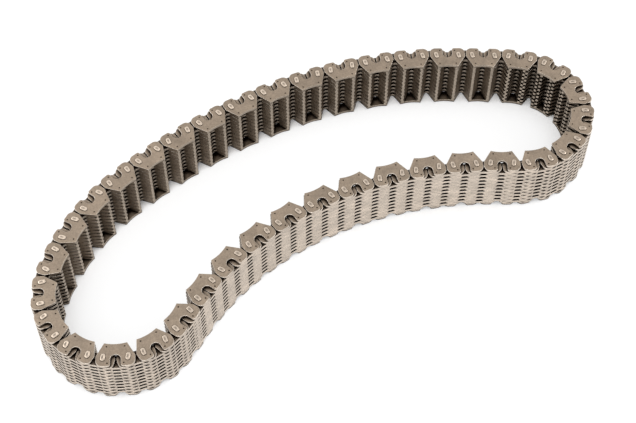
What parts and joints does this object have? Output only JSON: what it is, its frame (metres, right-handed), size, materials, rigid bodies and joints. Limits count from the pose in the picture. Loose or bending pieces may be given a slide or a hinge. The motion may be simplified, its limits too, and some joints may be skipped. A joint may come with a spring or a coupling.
{
  "type": "silent chain",
  "caption": "Endless silent drive chain of toothed steel plates laced on two-piece rocker pins, with outer guide plates, lying on its side in a kidney-shaped loop.",
  "frame": {"origin": "bottom centre of the loop's box, on the lower ends of the long pins", "axes": "+X along the loop's long way, +Z along the rocker pins, up from the surface that the chain lies on"},
  "size_m": [0.3073, 0.1197, 0.0321],
  "materials": {
    "link_steel": "tumbled satin plates with brighter rubbed edges and pin ends"
  },
  "bodies": {
    "link_pair_01": {"link_pair_01": "link_steel"},
    "guide_link_02": {"guide_link_02": "link_steel"},
    "inner_link_03": {"inner_link_03": "link_steel"},
    "guide_link_04": {"guide_link_04": "link_steel"},
    "link_pair_05": {"link_pair_05": "link_steel"},
    "inner_link_06": {"inner_link_06": "link_steel"},
    "guide_link_07": {"guide_link_07": "link_steel"},
    "inner_link_08": {"inner_link_08": "link_steel"},
    "link_pair_09": {"link_pair_09": "link_steel"},
    "guide_link_10": {"guide_link_10": "link_steel"},
    "inner_link_11": {"inner_link_11": "link_steel"},
    "guide_link_12": {"guide_link_12": "link_steel"},
    "link_pair_13": {"link_pair_13": "link_steel"},
    "inner_link_14": {"inner_link_14": "link_steel"},
    "guide_link_15": {"guide_link_15": "link_steel"},
    "inner_link_16": {"inner_link_16": "link_steel"},
    "guide_link_17": {"guide_link_17": "link_steel"},
    "link_pair_18": {"link_pair_18": "link_steel"},
    "inner_link_19": {"inner_link_19": "link_steel"},
    "guide_link_20": {"guide_link_20": "link_steel"},
    "inner_link_21": {"inner_link_21": "link_steel"},
    "link_pair_22": {"link_pair_22": "link_steel"},
    "guide_link_23": {"guide_link_23": "link_steel"},
    "inner_link_24": {"inner_link_24": "link_steel"},
    "guide_link_25": {"guide_link_25": "link_steel"},
    "link_pair_26": {"link_pair_26": "link_steel"},
    "inner_link_27": {"inner_link_27": "link_steel"},
    "guide_link_28": {"guide_link_28": "link_steel"},
    "inner_link_29": {"inner_link_29": "link_steel"},
    "guide_link_30": {"guide_link_30": "link_steel"},
    "link_pair_31": {"link_pair_31": "link_steel"},
    "inner_link_32": {"inner_link_32": "link_steel"},
    "guide_link_33": {"guide_link_33": "link_steel"},
    "inner_link_34": {"inner_link_34": "link_steel"},
    "link_pair_35": {"link_pair_35": "link_steel"},
    "guide_link_36": {"guide_link_36": "link_steel"},
    "inner_link_37": {"inner_link_37": "link_steel"},
    "guide_link_38": {"guide_link_38": "link_steel"},
    "link_pair_39": {"link_pair_39": "link_steel"},
    "inner_link_40": {"inner_link_40": "link_steel"},
    "guide_link_41": {"guide_link_41": "link_steel"},
    "inner_link_42": {"inner_link_42": "link_steel"},
    "link_pair_43": {"link_pair_43": "link_steel"},
    "guide_link_44": {"guide_link_44": "link_steel"},
    "inner_link_45": {"inner_link_45": "link_steel"},
    "guide_link_46": {"guide_link_46": "link_steel"},
    "inner_link_47": {"inner_link_47": "link_steel"},
    "link_pair_48": {"link_pair_48": "link_steel"},
    "guide_link_49": {"guide_link_49": "link_steel"},
    "inner_link_50": {"inner_link_50": "link_steel"},
    "guide_link_51": {"guide_link_51": "link_steel"},
    "link_pair_52": {"link_pair_52": "link_steel"},
    "inner_link_53": {"inner_link_53": "link_steel"},
    "guide_link_54": {"guide_link_54": "link_steel"},
    "inner_link_55": {"inner_link_55": "link_steel"},
    "link_pair_56": {"link_pair_56": "link_steel"},
    "guide_link_57": {"guide_link_57": "link_steel"},
    "inner_link_58": {"inner_link_58": "link_steel"},
    "guide_link_59": {"guide_link_59": "link_steel"},
    "inner_link_60": {"inner_link_60": "link_steel"}
  },
  "joints": [
    {"name": "pivot_01", "type": "hinge", "parent": "guide_link_02", "child": "link_pair_01", "pos_m": [0.08955, 0.03349, 0.01604], "axis": [0, 0, -1], "range_deg": [-10.76, 21.24]},
    {"name": "pivot_02", "type": "hinge", "parent": "inner_link_03", "child": "guide_link_02", "pos_m": [0.08088, 0.03745, 0.01604], "axis": [0, 0, -1], "range_deg": [-10.71, 21.3]},
    {"name": "pivot_03", "type": "hinge", "parent": "guide_link_04", "child": "inner_link_03", "pos_m": [0.07204, 0.04099, 0.01604], "axis": [0, 0, -1], "range_deg": [-10.65, 21.35]},
    {"name": "pivot_04", "type": "hinge", "parent": "link_pair_05", "child": "guide_link_04", "pos_m": [0.06305, 0.04412, 0.01604], "axis": [0, 0, -1], "range_deg": [-10.59, 21.41]},
    {"name": "pivot_05", "type": "hinge", "parent": "inner_link_06", "child": "link_pair_05", "pos_m": [0.04468, 0.04916, 0.01604], "axis": [0, 0, -1], "range_deg": [-10.46, 21.54]},
    {"name": "pivot_06", "type": "hinge", "parent": "guide_link_07", "child": "inner_link_06", "pos_m": [0.03535, 0.05107, 0.01604], "axis": [0, 0, -1], "range_deg": [-10.4, 21.6]},
    {"name": "pivot_07", "type": "hinge", "parent": "inner_link_08", "child": "guide_link_07", "pos_m": [0.02595, 0.0526, 0.01604], "axis": [0, 0, -1], "range_deg": [-10.32, 21.68]},
    {"name": "pivot_08", "type": "hinge", "parent": "link_pair_09", "child": "inner_link_08", "pos_m": [0.01649, 0.05374, 0.01604], "axis": [0, 0, -1], "range_deg": [-10.25, 21.75]},
    {"name": "pivot_09", "type": "hinge", "parent": "guide_link_10", "child": "link_pair_09", "pos_m": [-0.00252, 0.05492, 0.01604], "axis": [0, 0, -1], "range_deg": [-10.11, 21.89]},
    {"name": "pivot_10", "type": "hinge", "parent": "inner_link_11", "child": "guide_link_10", "pos_m": [-0.01205, 0.05497, 0.01604], "axis": [0, 0, -1], "range_deg": [-10.03, 21.97]},
    {"name": "pivot_11", "type": "hinge", "parent": "guide_link_12", "child": "inner_link_11", "pos_m": [-0.02157, 0.05469, 0.01604], "axis": [0, 0, -1], "range_deg": [-9.96, 22.04]},
    {"name": "pivot_12", "type": "hinge", "parent": "link_pair_13", "child": "guide_link_12", "pos_m": [-0.03107, 0.05408, 0.01604], "axis": [0, 0, -1], "range_deg": [-9.89, 22.11]},
    {"name": "pivot_13", "type": "hinge", "parent": "inner_link_14", "child": "link_pair_13", "pos_m": [-0.05, 0.05194, 0.01604], "axis": [0, 0, -1], "range_deg": [-9.75, 22.25]},
    {"name": "pivot_14", "type": "hinge", "parent": "guide_link_15", "child": "inner_link_14", "pos_m": [-0.0594, 0.05044, 0.01604], "axis": [0, 0, -1], "range_deg": [-9.68, 22.32]},
    {"name": "pivot_15", "type": "hinge", "parent": "inner_link_16", "child": "guide_link_15", "pos_m": [-0.06876, 0.04865, 0.01604], "axis": [0, 0, -1], "range_deg": [-9.62, 22.38]},
    {"name": "pivot_16", "type": "hinge", "parent": "guide_link_17", "child": "inner_link_16", "pos_m": [-0.07806, 0.04661, 0.01604], "axis": [0, 0, -1], "range_deg": [-10.66, 21.34]},
    {"name": "pivot_17", "type": "hinge", "parent": "link_pair_18", "child": "guide_link_17", "pos_m": [-0.08726, 0.04413, 0.01604], "axis": [0, 0, -1], "range_deg": [-11.71, 20.29]},
    {"name": "pivot_18", "type": "hinge", "parent": "inner_link_19", "child": "link_pair_18", "pos_m": [-0.10501, 0.03725, 0.01604], "axis": [0, 0, -1], "range_deg": [-12.72, 19.28]},
    {"name": "pivot_19", "type": "hinge", "parent": "guide_link_20", "child": "inner_link_19", "pos_m": [-0.1134, 0.03274, 0.01604], "axis": [0, 0, -1], "range_deg": [-12.68, 19.32]},
    {"name": "pivot_20", "type": "hinge", "parent": "inner_link_21", "child": "guide_link_20", "pos_m": [-0.12139, 0.02756, 0.01604], "axis": [0, 0, -1], "range_deg": [-12.64, 19.36]},
    {"name": "pivot_21", "type": "hinge", "parent": "link_pair_22", "child": "inner_link_21", "pos_m": [-0.12894, 0.02175, 0.01604], "axis": [0, 0, -1], "range_deg": [-12.61, 19.39]},
    {"name": "pivot_22", "type": "hinge", "parent": "guide_link_23", "child": "link_pair_22", "pos_m": [-0.14208, 0.00802, 0.01604], "axis": [0, 0, -1], "range_deg": [-19.65, 12.35]},
    {"name": "pivot_23", "type": "hinge", "parent": "inner_link_24", "child": "guide_link_23", "pos_m": [-0.14656, -0.00038, 0.01604], "axis": [0, 0, -1], "range_deg": [-23.18, 8.82]},
    {"name": "pivot_24", "type": "hinge", "parent": "guide_link_25", "child": "inner_link_24", "pos_m": [-0.14868, -0.00967, 0.01604], "axis": [0, 0, -1], "range_deg": [-23.17, 8.83]},
    {"name": "pivot_25", "type": "hinge", "parent": "link_pair_26", "child": "guide_link_25", "pos_m": [-0.14829, -0.01919, 0.01604], "axis": [0, 0, -1], "range_deg": [-23.17, 8.83]},
    {"name": "pivot_26", "type": "hinge", "parent": "inner_link_27", "child": "link_pair_26", "pos_m": [-0.14029, -0.03629, 0.01604], "axis": [0, 0, -1], "range_deg": [-23.19, 8.81]},
    {"name": "pivot_27", "type": "hinge", "parent": "guide_link_28", "child": "inner_link_27", "pos_m": [-0.13323, -0.04268, 0.01604], "axis": [0, 0, -1], "range_deg": [-23.21, 8.79]},
    {"name": "pivot_28", "type": "hinge", "parent": "inner_link_29", "child": "guide_link_28", "pos_m": [-0.12474, -0.047, 0.01604], "axis": [0, 0, -1], "range_deg": [-23.23, 8.77]},
    {"name": "pivot_29", "type": "hinge", "parent": "guide_link_30", "child": "inner_link_29", "pos_m": [-0.11541, -0.04893, 0.01604], "axis": [0, 0, -1], "range_deg": [-23.26, 8.74]},
    {"name": "pivot_30", "type": "hinge", "parent": "link_pair_31", "child": "guide_link_30", "pos_m": [-0.1059, -0.04834, 0.01604], "axis": [0, 0, -1], "range_deg": [-23.3, 8.7]},
    {"name": "pivot_31", "type": "hinge", "parent": "link_pair_31", "child": "inner_link_32", "pos_m": [-0.08846, -0.04083, 0.01604], "axis": [0, 0, 1], "range_deg": [-10.55, 21.45]},
    {"name": "pivot_32", "type": "hinge", "parent": "inner_link_32", "child": "guide_link_33", "pos_m": [-0.08024, -0.03602, 0.01604], "axis": [0, 0, 1], "range_deg": [-4.19, 27.81]},
    {"name": "pivot_33", "type": "hinge", "parent": "guide_link_33", "child": "inner_link_34", "pos_m": [-0.07172, -0.03177, 0.01604], "axis": [0, 0, 1], "range_deg": [-4.25, 27.75]},
    {"name": "pivot_34", "type": "hinge", "parent": "inner_link_34", "child": "link_pair_35", "pos_m": [-0.06293, -0.02809, 0.01604], "axis": [0, 0, 1], "range_deg": [-4.3, 27.7]},
    {"name": "pivot_35", "type": "hinge", "parent": "link_pair_35", "child": "guide_link_36", "pos_m": [-0.04475, -0.02244, 0.01604], "axis": [0, 0, 1], "range_deg": [-4.43, 27.57]},
    {"name": "pivot_36", "type": "hinge", "parent": "guide_link_36", "child": "inner_link_37", "pos_m": [-0.03543, -0.02048, 0.01604], "axis": [0, 0, 1], "range_deg": [-4.5, 27.5]},
    {"name": "pivot_37", "type": "hinge", "parent": "inner_link_37", "child": "guide_link_38", "pos_m": [-0.026, -0.01909, 0.01604], "axis": [0, 0, 1], "range_deg": [-4.57, 27.43]},
    {"name": "loop_flex", "type": "hinge", "parent": "guide_link_38", "child": "link_pair_39", "pos_m": [-0.01651, -0.01827, 0.01604], "axis": [0, 0, 1], "range_deg": [-3.31, 5.79]},
    {"name": "pivot_39", "type": "hinge", "parent": "link_pair_39", "child": "inner_link_40", "pos_m": [0.00253, -0.01829, 0.01604], "axis": [0, 0, 1], "range_deg": [-4.79, 27.21]},
    {"name": "pivot_40", "type": "hinge", "parent": "inner_link_40", "child": "guide_link_41", "pos_m": [0.01202, -0.01911, 0.01604], "axis": [0, 0, 1], "range_deg": [-4.86, 27.14]},
    {"name": "pivot_41", "type": "hinge", "parent": "guide_link_41", "child": "inner_link_42", "pos_m": [0.02145, -0.02044, 0.01604], "axis": [0, 0, 1], "range_deg": [-4.94, 27.06]},
    {"name": "pivot_42", "type": "hinge", "parent": "inner_link_42", "child": "link_pair_43", "pos_m": [0.0308, -0.02227, 0.01604], "axis": [0, 0, 1], "range_deg": [-5.01, 26.99]},
    {"name": "pivot_43", "type": "hinge", "parent": "link_pair_43", "child": "guide_link_44", "pos_m": [0.04914, -0.02738, 0.01604], "axis": [0, 0, 1], "range_deg": [-5.15, 26.85]},
    {"name": "pivot_44", "type": "hinge", "parent": "guide_link_44", "child": "inner_link_45", "pos_m": [0.0581, -0.03062, 0.01604], "axis": [0, 0, 1], "range_deg": [-5.21, 26.79]},
    {"name": "pivot_45", "type": "hinge", "parent": "inner_link_45", "child": "guide_link_46", "pos_m": [0.06689, -0.03428, 0.01604], "axis": [0, 0, 1], "range_deg": [-5.28, 26.72]},
    {"name": "pivot_46", "type": "hinge", "parent": "guide_link_46", "child": "inner_link_47", "pos_m": [0.0755, -0.03837, 0.01604], "axis": [0, 0, 1], "range_deg": [-5.34, 26.66]},
    {"name": "pivot_47", "type": "hinge", "parent": "inner_link_47", "child": "link_pair_48", "pos_m": [0.0839, -0.04284, 0.01604], "axis": [0, 0, 1], "range_deg": [-5.39, 26.61]},
    {"name": "pivot_48", "type": "hinge", "parent": "link_pair_48", "child": "guide_link_49", "pos_m": [0.10059, -0.05202, 0.01604], "axis": [0, 0, 1], "range_deg": [-17.92, 14.08]},
    {"name": "pivot_49", "type": "hinge", "parent": "guide_link_49", "child": "inner_link_50", "pos_m": [0.10969, -0.05482, 0.01604], "axis": [0, 0, 1], "range_deg": [-24.17, 7.83]},
    {"name": "pivot_50", "type": "hinge", "parent": "inner_link_50", "child": "guide_link_51", "pos_m": [0.11922, -0.05497, 0.01604], "axis": [0, 0, 1], "range_deg": [-24.21, 7.79]},
    {"name": "pivot_51", "type": "hinge", "parent": "guide_link_51", "child": "link_pair_52", "pos_m": [0.1284, -0.05246, 0.01604], "axis": [0, 0, 1], "range_deg": [-24.24, 7.76]},
    {"name": "pivot_52", "type": "hinge", "parent": "link_pair_52", "child": "inner_link_53", "pos_m": [0.14292, -0.04042, 0.01604], "axis": [0, 0, 1], "range_deg": [-24.28, 7.72]},
    {"name": "pivot_53", "type": "hinge", "parent": "inner_link_53", "child": "guide_link_54", "pos_m": [0.14708, -0.03185, 0.01604], "axis": [0, 0, 1], "range_deg": [-24.29, 7.71]},
    {"name": "pivot_54", "type": "hinge", "parent": "guide_link_54", "child": "inner_link_55", "pos_m": [0.14868, -0.02246, 0.01604], "axis": [0, 0, 1], "range_deg": [-24.3, 7.7]},
    {"name": "pivot_55", "type": "hinge", "parent": "inner_link_55", "child": "link_pair_56", "pos_m": [0.14757, -0.013, 0.01604], "axis": [0, 0, 1], "range_deg": [-24.3, 7.7]},
    {"name": "pivot_56", "type": "hinge", "parent": "link_pair_56", "child": "guide_link_57", "pos_m": [0.13782, 0.00314, 0.01604], "axis": [0, 0, 1], "range_deg": [-19.24, 12.76]},
    {"name": "pivot_57", "type": "hinge", "parent": "guide_link_57", "child": "inner_link_58", "pos_m": [0.13047, 0.0092, 0.01604], "axis": [0, 0, 1], "range_deg": [-14.17, 17.83]},
    {"name": "pivot_58", "type": "hinge", "parent": "inner_link_58", "child": "guide_link_59", "pos_m": [0.12251, 0.01443, 0.01604], "axis": [0, 0, 1], "range_deg": [-9.11, 22.89]},
    {"name": "pivot_59", "type": "hinge", "parent": "guide_link_59", "child": "inner_link_60", "pos_m": [0.11445, 0.01951, 0.01604], "axis": [0, 0, 1], "range_deg": [-9.07, 22.93]}
  ],
  "couplings": [
    {"joint": "pivot_01", "follows": "loop_flex", "ratio": 0.58304},
    {"joint": "pivot_02", "follows": "loop_flex", "ratio": 0.60925},
    {"joint": "pivot_03", "follows": "loop_flex", "ratio": 0.60991},
    {"joint": "pivot_04", "follows": "loop_flex", "ratio": 0.58781},
    {"joint": "pivot_05", "follows": "loop_flex", "ratio": 0.49669},
    {"joint": "pivot_06", "follows": "loop_flex", "ratio": 0.46524},
    {"joint": "pivot_07", "follows": "loop_flex", "ratio": 0.46662},
    {"joint": "pivot_08", "follows": "loop_flex", "ratio": -0.12924},
    {"joint": "pivot_09", "follows": "loop_flex", "ratio": -0.22635},
    {"joint": "pivot_10", "follows": "loop_flex", "ratio": -0.27177},
    {"joint": "pivot_11", "follows": "loop_flex", "ratio": -0.30634},
    {"joint": "pivot_12", "follows": "loop_flex", "ratio": -0.32747},
    {"joint": "pivot_13", "follows": "loop_flex", "ratio": -0.3812},
    {"joint": "pivot_14", "follows": "loop_flex", "ratio": -0.38498},
    {"joint": "pivot_15", "follows": "loop_flex", "ratio": -0.36508},
    {"joint": "pivot_16", "follows": "loop_flex", "ratio": -0.35937},
    {"joint": "pivot_17", "follows": "loop_flex", "ratio": -0.31122},
    {"joint": "pivot_18", "follows": "loop_flex", "ratio": -0.54046},
    {"joint": "pivot_19", "follows": "loop_flex", "ratio": -0.59985},
    {"joint": "pivot_20", "follows": "loop_flex", "ratio": -0.59015},
    {"joint": "pivot_21", "follows": "loop_flex", "ratio": -0.57391},
    {"joint": "pivot_22", "follows": "loop_flex", "ratio": 0.12095},
    {"joint": "pivot_23", "follows": "loop_flex", "ratio": 0.12648},
    {"joint": "pivot_24", "follows": "loop_flex", "ratio": 0.1989},
    {"joint": "pivot_25", "follows": "loop_flex", "ratio": 0.24298},
    {"joint": "pivot_26", "follows": "loop_flex", "ratio": 0.29461},
    {"joint": "pivot_27", "follows": "loop_flex", "ratio": 0.29163},
    {"joint": "pivot_28", "follows": "loop_flex", "ratio": 0.30021},
    {"joint": "pivot_29", "follows": "loop_flex", "ratio": 0.29464},
    {"joint": "pivot_30", "follows": "loop_flex", "ratio": 0.28667},
    {"joint": "pivot_31", "follows": "loop_flex", "ratio": 0.34265},
    {"joint": "pivot_32", "follows": "loop_flex", "ratio": 0.35654},
    {"joint": "pivot_33", "follows": "loop_flex", "ratio": 0.36082},
    {"joint": "pivot_34", "follows": "loop_flex", "ratio": 0.34901},
    {"joint": "pivot_35", "follows": "loop_flex", "ratio": 0.29149},
    {"joint": "pivot_36", "follows": "loop_flex", "ratio": 0.28048},
    {"joint": "pivot_37", "follows": "loop_flex", "ratio": 0.27594},
    {"joint": "pivot_39", "follows": "loop_flex", "ratio": -0.14371},
    {"joint": "pivot_40", "follows": "loop_flex", "ratio": -0.12405},
    {"joint": "pivot_41", "follows": "loop_flex", "ratio": -0.21417},
    {"joint": "pivot_42", "follows": "loop_flex", "ratio": -0.38485},
    {"joint": "pivot_43", "follows": "loop_flex", "ratio": -0.46816},
    {"joint": "pivot_44", "follows": "loop_flex", "ratio": -0.58388},
    {"joint": "pivot_45", "follows": "loop_flex", "ratio": -0.53196},
    {"joint": "pivot_46", "follows": "loop_flex", "ratio": -0.33445},
    {"joint": "pivot_47", "follows": "loop_flex", "ratio": -0.60421},
    {"joint": "pivot_48", "follows": "loop_flex", "ratio": -0.61836},
    {"joint": "pivot_49", "follows": "loop_flex", "ratio": -0.56818},
    {"joint": "pivot_50", "follows": "loop_flex", "ratio": -0.49419},
    {"joint": "pivot_51", "follows": "loop_flex", "ratio": -0.41329},
    {"joint": "pivot_52", "follows": "loop_flex", "ratio": 0.14746},
    {"joint": "pivot_53", "follows": "loop_flex", "ratio": 0.13701},
    {"joint": "pivot_54", "follows": "loop_flex", "ratio": 0.15242},
    {"joint": "pivot_55", "follows": "loop_flex", "ratio": 0.19096},
    {"joint": "pivot_56", "follows": "loop_flex", "ratio": 0.26437},
    {"joint": "pivot_57", "follows": "loop_flex", "ratio": 0.25462},
    {"joint": "pivot_58", "follows": "loop_flex", "ratio": 0.15332},
    {"joint": "pivot_59", "follows": "loop_flex", "ratio": 0.15733}
  ]
}
